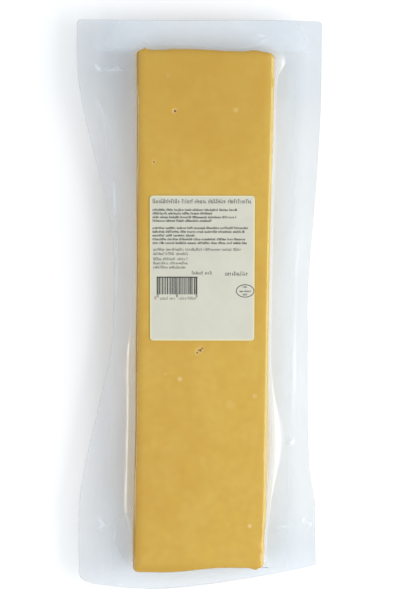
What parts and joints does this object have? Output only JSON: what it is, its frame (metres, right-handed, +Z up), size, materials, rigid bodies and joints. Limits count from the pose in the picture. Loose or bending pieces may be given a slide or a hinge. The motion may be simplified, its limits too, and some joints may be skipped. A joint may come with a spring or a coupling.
{
  "type": "vacuum-packed cheddar block",
  "caption": "Long rectangular block of cheddar sealed in a clear waisted vacuum pouch, with a paper label on its upper face.",
  "frame": {"origin": "on the resting surface, under the middle of the pouch's overall outline", "axes": "+Z up out of the labelled face, +Y along the length towards the head end, +X to the right when the label is read"},
  "size_m": [0.1333, 0.3109, 0.0248],
  "materials": {
    "cheese": null,
    "film": "clear glossy vacuum film with a faint grey-blue haze",
    "label_paper": null,
    "label_print": "black thermal print, matt",
    "label_mark": "small red print mark, matt"
  },
  "bodies": {
    "root": {"cheddar_block": "cheese", "pouch": "film", "label": "label_paper"}
  },
  "joints": []
}
